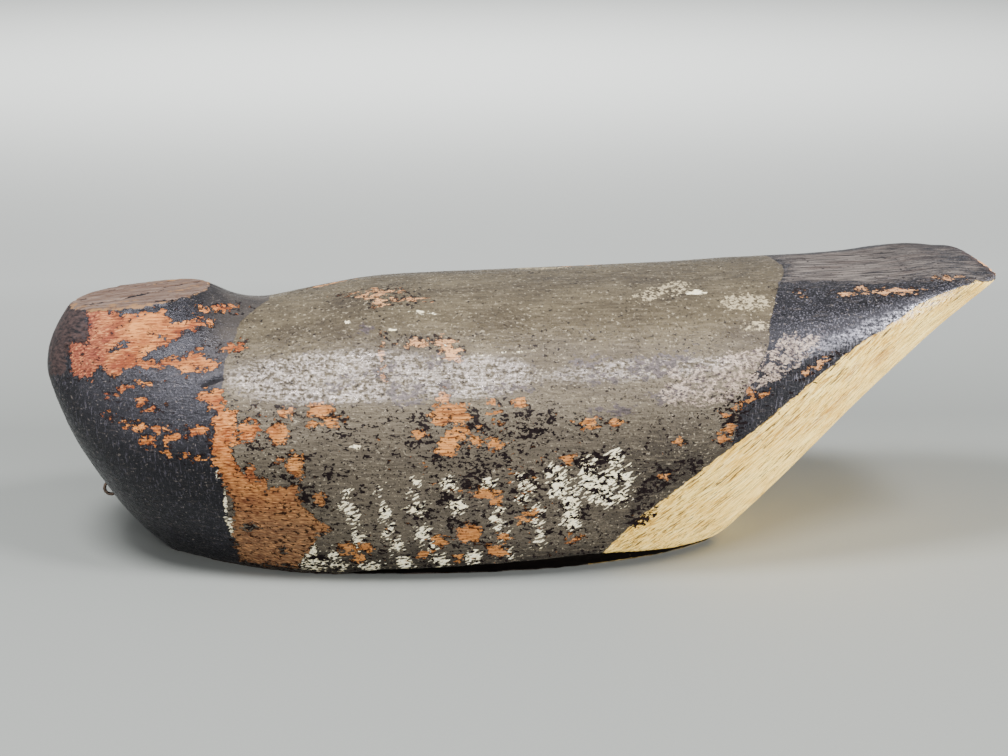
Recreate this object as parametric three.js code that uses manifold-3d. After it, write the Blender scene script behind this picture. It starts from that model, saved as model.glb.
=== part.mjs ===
// A carved wooden goose decoy that has lost its head: the body block with its bare neck seat,
// and the small wire staple under the breast that the anchor line was tied to.
// Millimetres. +Z is up, +X runs from the breast to the tail, and the body is the same on both
// sides of y = 0. The origin is on the surface that the decoy stands on, under the middle of its box.
import * as THREE from "three";
import { mergeVertices } from "three/addons/utils/BufferGeometryUtils.js";
import Module from "manifold-3d";

// Body block
const bodyLength = 436;
const bodyWidth = 174;
const backHeight = 127; // the crest's highest point, near the tail
const breastPointHeight = 85; // how high the foremost point of the breast is
const tailTipHeight = 121; // how high the tail's point is

// Neck seat, a flat cut that leans towards the breast
const seatFrontHeight = 111.5;
const seatRearHeight = 119.2;
const seatFrontSetback = 10; // breast point to the seat's front edge, along the body
const seatLength = 66;

// Underside
const keelDepth = 48; // how far the rounded keel would run below the flat that cuts it off
const tailSlope = 0.96; // rise of the underside towards the tail, per length
const bevelHeight = 6; // the flat's edge is bevelled along the middle of the body
const bevelWidth = 3;
const stripHalf = 2; // half-width of the level strip along the keel line

// Anchor line staple
const wireDiameter = 1.5;
const stapleInnerWidth = 4.6;
const stapleStandOff = 6.4; // wood to the outside of the crown
const stapleLegDepth = 8;
const stapleHeight = 24; // how high its middle sits on the curve under the breast
const legClearance = 0.3; // between a leg and its hole, all round

// Mesh density
const stations = 82;
const crowding = 0.72; // how much closer together the cross-sections are at both ends
const upperSteps = 14;
const lowerSteps = 10;
const flatSteps = 3;
const wireSides = 10;
const wireSteps = 18;

const breastX = -bodyLength / 2;
const across = (a, b, t) => a + (b - a) * t;
const clamp = (t, low, high) => Math.min(high, Math.max(low, t));

// A smooth curve through [x, y] points that never overshoots them, as a function of x.
function through(points) {
  const n = points.length;
  const slope = points.slice(1).map(([x, y], i) => (y - points[i][1]) / (x - points[i][0]));
  const tangent = points.map((_, i) => {
    if (i === 0) return slope[0];
    if (i === n - 1) return slope[n - 2];
    const [before, after] = [slope[i - 1], slope[i]];
    return before * after <= 0 ? 0 : (2 * before * after) / (before + after);
  });
  return (x) => {
    if (x <= points[0][0]) return points[0][1];
    if (x >= points[n - 1][0]) return points[n - 1][1];
    const i = points.findIndex(([px]) => px > x) - 1;
    const span = points[i + 1][0] - points[i][0];
    const t = (x - points[i][0]) / span;
    return (
      points[i][1] * (1 + 2 * t) * (1 - t) ** 2 +
      tangent[i] * span * t * (1 - t) ** 2 +
      points[i + 1][1] * t * t * (3 - 2 * t) +
      tangent[i + 1] * span * t * t * (t - 1)
    );
  };
}

// A blunt rounded start: 0 at reach 0, rising steeply, 1 from reach 1 on.
const bluntStart = (reach, power) => (1 - (1 - clamp(reach, 0, 1)) ** power) ** (1 / power);

// The lines of the body. u runs from 0 at the breast to 1 at the tail's point.
// Crest: the hump that the neck seat is cut from, the dip behind it, the back and the tail.
const crestShare = through([
  [0, 0.89],
  [0.045, 0.97],
  [0.1, 0.998],
  [0.125, 0.988],
  [0.158, 0.958],
  [0.174, 0.93],
  [0.198, 0.885],
  [0.222, 0.87],
  [0.265, 0.891],
  [0.36, 0.931],
  [0.48, 0.941],
  [0.66, 0.957],
  [0.78, 0.977],
  [0.86, 0.982],
  [0.94, 1],
  [0.97, 0.996],
  [1, 0.965],
]);
const noseReach = 0.075;
const noseRoundness = 2;
const tailReach = 0.04;

function crest(u) {
  const line = backHeight * crestShare(u);
  const fromBreast = across(breastPointHeight, line, bluntStart(u / noseReach, noseRoundness));
  return across(tailTipHeight, fromBreast, bluntStart((1 - u) / tailReach, 2));
}

// Keel line: down the stem under the breast, on below the flat, and up the long slope to the tail.
const stem = through([
  [0, 0.62],
  [0.02, 0.462],
  [0.04, 0.322],
  [0.06, 0.21],
  [0.08, 0.108],
  [0.1, 0.027],
]);
const depth = through([
  [0.1, -0.08],
  [0.12, 0.09],
  [0.158, 0.25],
  [0.2, 0.42],
  [0.265, 0.67],
  [0.35, 0.87],
  [0.45, 1],
  [0.51, 0.94],
  [0.57, 0.73],
  [0.625, 0.5],
  [0.66, 0.32],
  [0.695, 0.14],
  [0.718, 0],
]);
const stemEnd = 0.1;
const slopeStart = 0.718;
const chinReach = 0.03;

function keel(u) {
  if (u < stemEnd) return across(breastPointHeight, backHeight * stem(u), bluntStart(u / chinReach, 2));
  if (u < slopeStart) return -keelDepth * depth(u);
  const slope = tailSlope * bodyLength * (u - slopeStart);
  return across(tailTipHeight, slope, bluntStart((1 - u) / tailReach, 2));
}

// Half-width of the body, widest at widestAt.
const widestAt = 0.42;
const breastFullness = 2.3;
const tailShare = through([
  [widestAt, 1],
  [0.6, 0.975],
  [0.7, 0.925],
  [0.8, 0.825],
  [0.9, 0.665],
  [0.95, 0.545],
  [0.975, 0.465],
  [0.99, 0.35],
  [1, 0.12],
]);

function halfWidth(u) {
  const share = u < widestAt ? bluntStart(u / widestAt, breastFullness) : tailShare(u);
  return (bodyWidth / 2) * share;
}

// Height of that widest line, as a share of the back's height.
const widestShare = through([
  [0, 0.67],
  [0.04, 0.56],
  [0.11, 0.475],
  [0.25, 0.455],
  [0.48, 0.515],
  [0.66, 0.625],
  [0.74, 0.71],
  [0.8, 0.785],
  [0.86, 0.885],
  [0.905, 0.947],
  [0.95, 0.976],
  [1, 0.965],
]);

// How square the shoulders are: 1 would be a straight slope from crest to side, 2 an ellipse.
const shoulder = through([
  [0, 1.9],
  [0.06, 1.6],
  [0.14, 1.55],
  [0.22, 1.95],
  [0.36, 2.45],
  [0.66, 2.5],
  [0.8, 2.35],
  [1, 2],
]);

// How full the flanks are below that line: 1 would be a straight slope down, 2 an ellipse.
const flank = through([
  [0, 1.9],
  [0.14, 1.8],
  [0.3, 1.9],
  [0.66, 1.9],
  [0.76, 1.75],
  [0.86, 1.45],
  [1, 1.3],
]);

// How much bevel there is at the flat's edge: none at its two ends.
const bevelShare = through([
  [0.15, 0],
  [0.25, 0.45],
  [0.4, 0.9],
  [0.6, 1],
  [0.7, 0],
]);
const leastShoulder = 0.1; // the widest line keeps this share of the height clear above and below

// Half a cross-section from the crest round to the middle of the underside, as [y, z] pairs.
function halfSection(u) {
  const top = crest(u);
  const low = keel(u);
  const wide = halfWidth(u);
  const height = top - low;
  const share = (backHeight * widestShare(u) - low) / height;
  const side = low + height * clamp(share, leastShoulder, 1 - leastShoulder);
  const points = [];
  const above = 2 / shoulder(u);
  for (let i = 0; i <= upperSteps; i++) {
    const turn = (i / upperSteps) * (Math.PI / 2);
    points.push([wide * Math.sin(turn) ** above, side + (top - side) * Math.cos(turn) ** above]);
  }
  const fullness = flank(u);
  const below = 2 / fullness;
  const ground = Math.max(low, 0);
  const edgeAt = (z) => wide * (1 - clamp((side - z) / (side - low), 0, 1) ** fullness) ** (1 / fullness);
  const bevel = bevelShare(u);
  const strip = Math.min(stripHalf, 0.2 * wide);
  const corner = Math.max(edgeAt(ground + bevelHeight * bevel), strip);
  const flat = Math.max(Math.min(edgeAt(ground) - bevelWidth * bevel, 0.97 * corner), 0.5 * strip);
  const lastTurn = Math.acos((corner / wide) ** (1 / below));
  for (let i = 1; i <= lowerSteps; i++) {
    const turn = (i / lowerSteps) * lastTurn;
    const z = side - (side - low) * Math.sin(turn) ** below;
    points.push([wide * Math.cos(turn) ** below, Math.max(z, ground)]);
  }
  const level = low > 0 ? points.at(-1)[1] : 0;
  for (let i = 0; i <= flatSteps; i++) points.push([flat * (1 - i / flatSteps), level]);
  return points;
}

// Where the cross-sections are: they crowd towards both ends, where the outline curves most.
function stationShare(t) {
  return across(t, (1 - Math.cos(Math.PI * t)) / 2, crowding);
}

// The whole block before the neck seat is cut, as a closed skin of quads between cross-sections.
function blockGeometry() {
  const rings = [];
  for (let s = 1; s < stations; s++) {
    const u = stationShare(s / stations);
    const half = halfSection(u);
    const x = breastX + bodyLength * u;
    const near = half.slice(1, -1).map(([y, z]) => [x, -y, z]);
    const far = half.map(([y, z]) => [x, y, z]);
    rings.push([...far, ...near.reverse()]);
  }
  const count = rings[0].length;
  const ends = [[breastX, 0, breastPointHeight], [breastX + bodyLength, 0, tailTipHeight]];
  const position = [...ends[0], ...rings.flat(2), ...ends[1]];
  const index = [];
  const at = (ring, i) => 1 + ring * count + (i % count);
  const last = rings.length - 1;
  const tip = 1 + rings.length * count;
  for (let i = 0; i < count; i++) {
    index.push(0, at(0, i), at(0, i + 1));
    index.push(at(last, i + 1), at(last, i), tip);
    for (let r = 0; r < last; r++) {
      index.push(at(r, i), at(r + 1, i), at(r + 1, i + 1));
      index.push(at(r, i), at(r + 1, i + 1), at(r, i + 1));
    }
  }
  return skin(position, index);
}

// A half-space over the neck seat, as a box whose underside is the seat's plane.
function seatCutter() {
  const frontX = breastX + seatFrontSetback;
  const lean = Math.atan2(seatRearHeight - seatFrontHeight, seatLength);
  const size = 2 * bodyLength;
  const cutter = new THREE.BoxGeometry(size, size, size);
  cutter.translate(0, 0, size / 2);
  cutter.rotateY(-lean);
  cutter.translate(frontX, 0, seatFrontHeight);
  return cutter;
}

// The place on the stem, under the breast, where the staple is driven in: a point and the way out.
function stapleSeat() {
  let [near, far] = [0, stemEnd];
  while (far - near > 1e-6) {
    const middle = (near + far) / 2;
    if (keel(middle) > stapleHeight) near = middle;
    else far = middle;
  }
  const point = (u) => new THREE.Vector3(breastX + bodyLength * u, 0, keel(u));
  const along = point(far + 0.002).sub(point(far - 0.002)).normalize();
  return { point: point(far), along, out: new THREE.Vector3(along.z, 0, -along.x) };
}

// The bent wire, or with a clearance the hole that its legs go into: round wire along two straight legs
// and a half-round crown, which lie in the body's middle plane.
function stapleGeometry(clearance) {
  const { point, along, out } = stapleSeat();
  const bend = (stapleInnerWidth + wireDiameter) / 2;
  const shoulderHeight = stapleStandOff - wireDiameter / 2 - bend;
  const crownHeight = shoulderHeight + bend;
  const legEnd = -stapleLegDepth - clearance;
  const round = bend * 0.5523; // handle length that makes a quarter circle
  const place = (side, height) => point.clone().addScaledVector(along, side).addScaledVector(out, height);
  const quarter = (side) => [
    place(side * bend, shoulderHeight),
    place(side * bend, shoulderHeight + round),
    place(side * round, crownHeight),
    place(0, crownHeight),
  ];
  const wire = new THREE.CurvePath();
  wire.add(new THREE.LineCurve3(place(-bend, legEnd), place(-bend, shoulderHeight)));
  wire.add(new THREE.CubicBezierCurve3(...quarter(-1)));
  wire.add(new THREE.CubicBezierCurve3(...quarter(1).reverse()));
  wire.add(new THREE.LineCurve3(place(bend, shoulderHeight), place(bend, legEnd)));
  const section = new THREE.Shape().absarc(0, 0, wireDiameter / 2 + clearance, 0, 2 * Math.PI);
  return new THREE.ExtrudeGeometry(section, {
    extrudePath: wire,
    steps: wireSteps,
    curveSegments: wireSides / 2,
    bevelEnabled: false,
  });
}

function skin(position, index) {
  const made = new THREE.BufferGeometry();
  made.setAttribute("position", new THREE.Float32BufferAttribute(position, 3));
  made.setIndex(index);
  return made;
}

const wasm = await Module();
wasm.setup();

function solid(geometry) {
  const bare = geometry.clone();
  bare.deleteAttribute("normal");
  bare.deleteAttribute("uv");
  const merged = mergeVertices(bare, 1e-3);
  return new wasm.Manifold(
    new wasm.Mesh({
      numProp: 3,
      vertProperties: merged.getAttribute("position").array,
      triVerts: new Uint32Array(merged.index.array),
    }),
  );
}

function geometryOf(made) {
  const mesh = made.getMesh();
  const result = new THREE.BufferGeometry();
  result.setAttribute("position", new THREE.BufferAttribute(mesh.vertProperties, 3));
  result.setIndex(new THREE.BufferAttribute(mesh.triVerts, 1));
  result.computeVertexNormals();
  return result;
}

function decoyBody() {
  const block = solid(blockGeometry());
  const seated = block.subtract(solid(seatCutter()));
  const drilled = seated.subtract(solid(stapleGeometry(legClearance)));
  const painted = new THREE.MeshStandardMaterial({ color: 0x57524a, roughness: 0.62, metalness: 0 });
  const body = new THREE.Mesh(geometryOf(drilled), painted);
  body.name = "decoy_body";
  return body;
}

function lineTieStaple() {
  const iron = new THREE.MeshStandardMaterial({ color: 0x6a5f58, roughness: 0.5, metalness: 0.8 });
  const staple = new THREE.Mesh(geometryOf(solid(stapleGeometry(0))), iron);
  staple.name = "line_tie_staple";
  return staple;
}

const decoy = new THREE.Group();
decoy.name = "goose_decoy";
decoy.add(decoyBody(), lineTieStaple());

export default decoy;
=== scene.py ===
"""The looks of a carved goose decoy: one block of cedar under worn working paint, and its bent wire line tie.

Lengths are millimetres unless a name says otherwise. A place on a side is given as that side is seen
square on from a little above: x along the body from its middle, w up the view.
"""

import math

import bpy
import numpy as np
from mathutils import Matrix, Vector, noise


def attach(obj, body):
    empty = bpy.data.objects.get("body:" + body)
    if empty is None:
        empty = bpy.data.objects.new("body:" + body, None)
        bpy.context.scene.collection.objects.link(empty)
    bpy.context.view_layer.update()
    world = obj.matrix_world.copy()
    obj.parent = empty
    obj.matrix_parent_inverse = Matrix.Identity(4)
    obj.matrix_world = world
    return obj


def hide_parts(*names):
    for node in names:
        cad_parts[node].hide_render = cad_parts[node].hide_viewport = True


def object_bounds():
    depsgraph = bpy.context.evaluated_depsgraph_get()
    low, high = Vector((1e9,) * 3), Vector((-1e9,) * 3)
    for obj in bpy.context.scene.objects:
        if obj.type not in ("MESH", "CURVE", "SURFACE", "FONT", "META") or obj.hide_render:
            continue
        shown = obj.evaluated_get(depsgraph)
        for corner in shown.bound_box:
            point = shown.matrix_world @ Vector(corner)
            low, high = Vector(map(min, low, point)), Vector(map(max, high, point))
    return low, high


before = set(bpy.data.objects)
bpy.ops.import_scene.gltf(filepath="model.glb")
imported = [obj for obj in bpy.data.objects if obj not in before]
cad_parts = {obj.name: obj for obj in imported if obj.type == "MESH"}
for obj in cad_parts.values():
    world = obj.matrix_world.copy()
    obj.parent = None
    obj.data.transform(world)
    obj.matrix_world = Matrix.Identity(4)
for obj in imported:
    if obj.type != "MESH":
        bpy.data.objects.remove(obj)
cad_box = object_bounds()

MM = 0.001
FAR_OUT = 40.0  # no field falls lower than this far outside its mark

# The camera, where the photograph's was
CAMERA_PLACE = (-72.0, -897.8, 306.0)
CAMERA_LOOKS_AT = (-9.2, 0.0, 72.0)
CAMERA_LENS = 71.43
CAMERA_SENSOR = 36.0

# The carved skin
SKIN_SPACING = 1.65
MERGE_WITHIN = 0.02
CREASE_FROM = 28.0  # degrees between faces
QUAD_BEND = 15.0  # degrees: two triangles that bend less than this become one four-sided face
QUAD_SKEW = 50.0  # degrees that such a face's corners may be off square
VIEW_LIFT = math.radians(15)  # how far above square on the side views below are taken

# The neck seat's plane, front edge to rear edge, as (x, z)
SEAT_FRONT = (-208.0, 111.5)
SEAT_REAR = (-142.0, 119.2)
SEAT_MARGIN = (4.0, 2.5)  # how far behind and below the seat its finer skin goes on

# The worn undercut along both edges of the flat underside, as (x, height)
UNDERCUT_EDGE = [
    (-92, 0), (-68, 4.4), (-40, 5.6), (-9, 7.2), (22, 9), (37, 8.3), (50, 6.6), (65, 5), (80, 4),
    (96, 3), (108, 0),
]
UNDERCUT_DEPTH = 1.6
UNDERCUT_LIP = 1.6  # the height over which it comes back out to the flank
UNDERCUT_RUN_IN = (0.3, 3.0)  # from none to its full depth, by its edge's height
UNDERCUT_MIDDLE = (20.0, 40.0)  # from none to its full depth, by the distance from the middle line
FLAT_SOLE = 0.6  # the underside is flat up to this height

# The tail's end: broken off blunt
TAIL_POINT = 218.0
TAIL_PULLED_FROM = 204.0
TAIL_BROKEN_AT = 216.2
TAIL_LIFT = 2.2
TAIL_CHIPS = 1.2
TAIL_BARE = (211.0, 216.0)  # the break is bare wood, from almost none to all of it
TAIL_GRIME = (203.0, 210.0, 211.5, 214.0)  # where grime before the break sets in, is full, thins, is gone

# Flats left by the drawknife on the shoulders: (x, lower w, upper w), with how deep the middle is cut
NEAR_SHOULDER_FLAT = [
    (-140, 68, 73), (-127, 64, 75), (-101, 60, 78.5), (-76, 58, 79.5), (-46, 58, 81), (-30, 60, 80),
]
NEAR_RUMP_FLAT = [(112, 76, 88), (122, 79, 90), (144, 84, 96), (172, 94, 104), (196, 104, 112)]
NEAR_REAR_FLAT = [(-46, 56, 81), (-15, 56, 82), (30, 56, 81), (60, 58, 82), (84, 64, 84)]
FAR_SHOULDER_FLAT = [(-132, 64, 74), (-100, 59, 79), (-40, 57, 82), (20, 57, 82), (66, 60, 84)]
FLAT_DEPTH = 1.5
REAR_FLAT_DEPTH = 0.7 * FLAT_DEPTH
RUMP_FLAT_DEPTH = 0.8 * FLAT_DEPTH
FLAT_RUN_OUT = 14.0  # how far from its ends a flat comes up to its full depth
PAINT_DEPTH = 0.25  # lost with the paint where the wood is bare
CHECK_DEPTH = 1.4
SEAT_CHIPS = 0.7  # off the seat's rim

# Edges between the painted areas
CROWN_W = 118.0  # an edge runs on over the far side's crown from where it is at this w
BREAST_EDGE = [  # (w, x)
    (-20, -130), (3, -132), (15, -134), (34, -136), (66, -135), (78, -134), (90, -130), (97, -128),
    (104, -121), (108, -117),
]
RUMP_EDGE = [  # (w, x)
    (30, 83), (47, 86), (60, 88), (66, 91), (76, 97), (83, 100), (90, 101), (102, 107), (110, 112),
    (116, 118), (126, 123),
]
UNDERTAIL_EDGE = [  # (x, z)
    (20, -6), (32, 11), (44, 26), (61, 40), (78, 54), (94, 66), (106, 76), (125, 91), (142, 103),
    (161, 112), (170, 117), (180, 120), (198, 124.5), (210, 122), (220, 120),
]
UNDERTAIL_FALL = 0.77  # from a height above the undertail's edge to the distance from it

# Bare wood: outlines of the big patches, then spots as (x, w, half length, half height, tilt)
NEAR_BARE_OUTLINES = [
    [  # below the neck seat
        (-198, 104), (-181, 102), (-173, 101), (-162, 102), (-157, 96), (-149, 98), (-139, 97),
        (-146, 94), (-155, 91), (-162, 85), (-168, 84), (-172, 80), (-162, 79), (-151, 81), (-143, 86),
        (-143, 80), (-136, 78), (-139, 76), (-152, 74), (-154, 77), (-170, 77), (-178, 76), (-184, 73),
        (-190, 78), (-193, 72), (-202, 74), (-204, 89), (-195, 90), (-195, 97),
    ],
    [  # along the breast's edge and the low corner behind it
        (-145, 65), (-135, 67), (-134, 59), (-129, 58), (-129, 47), (-122, 50), (-120, 45), (-131, 43),
        (-130, 35), (-126, 29), (-116, 27), (-116, 23), (-102, 25), (-103, 19), (-98, 12), (-90, 5),
        (-96, 2), (-97, -2), (-103, -9), (-105, -12), (-118, -12), (-130, -10), (-132, 3), (-130, 13),
        (-135, 28), (-138, 34), (-140, 44), (-138, 56),
    ],
]
NEAR_BARE_SPOTS = [
    (-183, 65, 1.6, 0.8), (-179, 67, 1.2, 0.9, 30), (-170, 61, 1.2, 1.6), (-166, 59, 2.3, 0.8),
    (-168, 70, 2.3, 0.8), (-184, 55, 2, 0.9, -30), (-178, 52, 2, 0.9, -20), (-171, 51, 3.1, 1.9),
    (-162, 50, 2.7, 1.4), (-167, 45, 2.5, 1.6), (-159, 43, 1.6, 3.9), (-155, 47, 2.8, 1.4),
    (-145, 49, 3.9, 1.3), (-151, 38, 1.6, 1.1), (-143, 37, 2.6, 0.8), (-138, 103, 5, 1.1),
    (-132, 85, 2.5, 1.5), (-127, 85, 2.3, 2), (-108, 56, 2.7, 1.9), (-92, 57, 4.5, 3),
    (-88, 52, 4, 2.1), (-96, 51, 2.3, 1.7), (-111, 47, 4.4, 4), (-123, 50, 3.5, 2.5),
    (-104, 35, 3.8, 3.6), (-103, 30, 1.7, 2.5), (-111, 36, 1.3, 1.3), (-123, 32, 1.9, 2.3),
    (-51, 85, 3.8, 1.3), (-41, 85, 3.4, 1.5), (-38, 81, 4, 1.8, -30), (-34, 79, 1.7, 3),
    (-66, 80, 0.9, 5), (-41, 62, 1.9, 2.5), (-38, 54, 8, 4.3), (-51, 46, 2.3, 1.7), (-35, 46, 4.2, 3),
    (-39, 40, 4.8, 3.8), (-27, 42, 3.4, 1.7), (-25, 48, 1.3, 1.2), (-19, 41, 2.8, 3),
    (-20, 54, 1.4, 1.4), (-9, 58, 2.2, 2), (-19, 59, 1.2, 0.8), (21, 49, 4, 1.6), (33, 48, 2.2, 1.6),
    (12, 34, 2.5, 2.1), (-25, 20, 7, 2, -10), (-19, 16, 2.2, 2.4), (-3, 10, 2.5, 1.7),
    (-7, 8, 1.8, 1.2), (-30, 2, 5.2, 4.1), (-43, -1, 3.4, 2.1), (-18, -6, 4.4, 2.2, -20),
    (-49, -7, 2.3, 1.5), (-15, 0, 2.2, 1), (-34, -9, 1.6, 1.1), (17, -2, 2.3, 1.6), (55, 25, 1.5, 0.9),
    (-71, 108, 4.4, 0.8), (-64, 110, 3.2, 0.6), (-57, 105, 4, 0.9), (-67, 104, 2.6, 1.6),
    (-82, -4, 3.4, 2.4), (-75, -3, 3, 2.2), (-78, -9, 2.4, 1.6), (-94, 18, 2.4, 2.7),
    (119, 104, 1.2, 0.9), (138, 104, 1.8, 0.7), (147, 106, 2, 0.9), (156, 104.5, 2.2, 0.7),
    (164, 105, 3, 0.7), (186, 111, 2, 0.6), (121, 72, 4, 1, 32), (91, 61, 1.7, 1),
    (98, 60, 2.6, 0.8, 32), (88, 56, 3, 0.8, 32), (80, 52, 2, 1), (83, 45, 2.4, 2.2), (80, 41, 2.4, 2),
    (60, 40, 1.2, 0.7), (213.5, 117, 3.6, 2.4), (214.5, 113, 3, 1.8),
]
FAR_BARE_OUTLINES = [
    [  # the breast's other cheek
        (-204, 96), (-190, 102), (-176, 99), (-168, 92), (-171, 82), (-182, 79), (-196, 83),
    ],
    [  # behind the breast's edge
        (-136, 42), (-126, 46), (-121, 38), (-126, 25), (-118, 14), (-109, 4), (-112, -6), (-128, -9),
        (-132, 8), (-134, 26),
    ],
]
FAR_BARE_SPOTS = [
    (-160, 88, 6, 2.4, 10), (-150, 70, 3, 1.6), (-172, 62, 5, 2, -15), (-158, 46, 4, 2.4),
    (-141, 58, 2, 4), (-112, 60, 4, 2), (-98, 44, 5, 3), (-84, 28, 4, 2.2), (-72, 84, 5, 1.4),
    (-60, 50, 9, 4, 12), (-47, 42, 5, 3), (-30, 12, 6, 3), (-14, 64, 4, 1.8), (2, 30, 6, 2.6),
    (12, 6, 4, 2.2), (26, 56, 5, 2), (38, 20, 4, 2.4), (58, 46, 5, 1.8), (72, 66, 4, 1.4),
    (96, 90, 6, 1.2, 10), (116, 78, 5, 1.4, 30), (150, 98, 6, 1, 12), (-90, 104, 5, 0.9),
    (30, 104, 6, 0.8),
]

# Paint that stayed on inside the bare patches
NEAR_ISLANDS = [
    (-177, 102, 5, 2), (-180, 86, 3.2, 2.1, 20), (-162, 90, 1.5, 1), (-124, 6, 2.8, 1.7),
    (-111, -5, 1.8, 1.6),
]

# Dark undercoat showing where the top coat is off
NEAR_DARK_SPOTS = [
    (-109, 57, 2.3, 1), (-83, 54, 2.3, 2.1), (-51, 53, 2.8, 2.5), (-54, 42, 3, 3), (-44, 34, 2.8, 3),
    (-90, 30, 1.9, 2.4), (-98, 37, 2.3, 1.6), (-120, 41, 2.7, 1.6), (-107, 28, 5, 1.7),
    (-99, 21, 3.3, 3.5), (-89, 30, 2.3, 2.5), (-93, 17, 3.3, 4.6), (-83, 29, 2.3, 1.7),
    (-44, 35, 2.5, 3.7), (-40, 17, 2.7, 3.2), (-49, 11, 5.9, 2.8), (-36, 7, 3.5, 3.7),
    (-29, 25, 3.4, 4), (-96, -9, 4.1, 1.7), (-75, -5, 2.9, 4.9), (-67, -5, 1.8, 1.7),
    (-49, 49, 1.7, 5.3), (-28, 53, 2.6, 2.3), (-28, 48, 4.3, 4.3), (-16, 49, 2.3, 2.3),
    (-6, 54, 2.9, 1.6), (-6, 46, 3.2, 2.6), (0, 48, 5.5, 3.1, 40), (6, 54, 1.5, 1.6),
    (-40, 18, 3.3, 2.7), (-30, 3, 5.4, 5.6), (-27, 27, 2.7, 3.5), (-4, 26, 5.2, 3.1), (23, 32, 7, 4.3),
    (25, 20, 2.4, 1.6), (52, 23, 10.8, 4.3, 30), (20, 10, 3.2, 3), (10, 2, 7.2, 1.8),
    (46, 8, 7.1, 4.8, 30), (-49, 12, 2.5, 3.1), (66, 30, 4.6, 3.5), (84, 50, 6, 8),
]
# Where the top coat is rubbed thin and an older violet grey shows, mostly along the shoulder
NEAR_THIN_SPOTS = [
    (-84, 69, 6.8, 3), (-57, 64, 8.3, 5.3), (-39, 66, 3, 2.8), (-43, 78, 5.5, 2.5),
    (-107, 58, 2.3, 1.5), (-74, 91, 3.1, 1.9), (15, 69, 2.7, 0.8), (27, 68, 5.2, 2.8),
    (51, 70, 6.9, 2.4), (65, 71, 3.6, 3.2), (25, 54, 6.4, 2), (35, 54, 4.2, 2.1), (-12, 65, 7, 1.6),
    (50, 74, 14, 4, 14), (60, 62, 14, 3, 14), (-64, 74, 8, 3), (22, 76, 6, 2), (118, 83, 6, 3, 30),
]
FAR_THIN_SPOTS = [
    (-70, 72, 10, 4), (-30, 80, 9, 3), (8, 70, 10, 3), (44, 76, 12, 4, 8), (86, 84, 9, 3, 20),
]
FAR_DARK_SPOTS = [
    (-100, 50, 6, 3), (-88, 30, 5, 4), (-64, 56, 8, 3), (-50, 38, 6, 4), (-36, 20, 5, 4),
    (-20, 60, 6, 3), (-4, 34, 6, 4), (14, 12, 7, 4), (30, 52, 8, 3), (40, 26, 6, 4),
    (56, 44, 8, 3, 20), (74, 60, 7, 3, 30), (-74, 10, 5, 3), (-56, -2, 6, 3), (60, 22, 6, 4, 30),
]

# White dashes on the flank
NEAR_DASHES = [
    (21, 30, 3.5, 3.4), (32, 26, 6.4, 2.4), (24, 23, 5.4, 4.9), (29, 17, 4, 4), (33, 34, 2.9, 3.1),
    (37, 16, 2.8, 2.5), (25, 15, 2, 1.6), (38, 24, 1.6, 3.1), (7, 28, 3.5, 2.2), (9, 24, 2.5, 1.7),
    (9, 20, 3.1, 2.2), (14, 14, 3.1, 2.9), (14, 8, 3.1, 3.2), (16, 18, 1.6, 2.9), (16, 4, 1.3, 1.2),
    (-8, 25, 1.6, 1.7), (-4, 22, 1.6, 1.1), (-7, 18, 2, 1.6), (-1, 12, 1.8, 1.3), (-2, 6, 1.2, 1.1),
    (1, 0, 1.2, 2.4), (-22, 24, 2.6, 2.2), (-18, 12, 1.2, 1.1), (-18, 9, 1.3, 1.1), (-16, 5, 1.7, 1.1),
    (-15, 0, 1.2, 1.1), (-11, -8, 1.5, 1.4), (-39, 25, 1.6, 1.7), (-35, 14, 2.3, 2.4),
    (-49, 3, 1.4, 2.4), (-46, -4, 1.8, 1.2), (-42, -10, 2.4, 1.6, -20), (-28, -9, 2.5, 2.3, -20),
    (-99, -5, 2.6, 2.1), (-98, -11, 4.1, 2.6, -20), (-89, -7, 1.6, 1.6), (-86, -12, 2, 1.6),
    (-83, 14, 1.1, 1.3), (-80, 11, 1.8, 2.4), (-78, 1, 1.6, 2.7), (-82, 21, 1.1, 1.1),
    (-73, -13, 2.2, 1.1), (-66, 12, 1.6, 2.6), (-68, 23, 1.1, 1.1), (-65, 4, 1.6, 2.1),
    (-61, -3, 2, 2.5), (-58, -11, 2.5, 1.9, -20), (-54, 25, 1.2, 1.1), (-54, 19, 1.1, 1.1),
    (-52, 14, 2.5, 1.8), (-50, 3, 2, 2.4), (-39, 24, 2, 1.8),
]
# The other side has the same kind of dashes, in nearly even columns that lean forward
FAR_DASH_COLUMNS = 9
FAR_DASH_ROWS = 5
DASH_COLUMN_GAP = 17.0
DASH_ROW_GAP = 8.0
DASH_FIRST_X = -96.0  # the first column's middle
DASH_LOWEST_W = -9.0
DASH_LEAN = 2.4  # along x from row to row
DASH_STRAY = (9.0, 6.0)  # along x and w
DASH_KEPT_UNDER = 0.25  # a dash with more stray than this is worn off
DASH_HALF_LENGTH = 2.8  # of the lowest
DASH_SHRINK = 0.3  # from row to row
DASH_HALF_HEIGHT = 2.2

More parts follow.
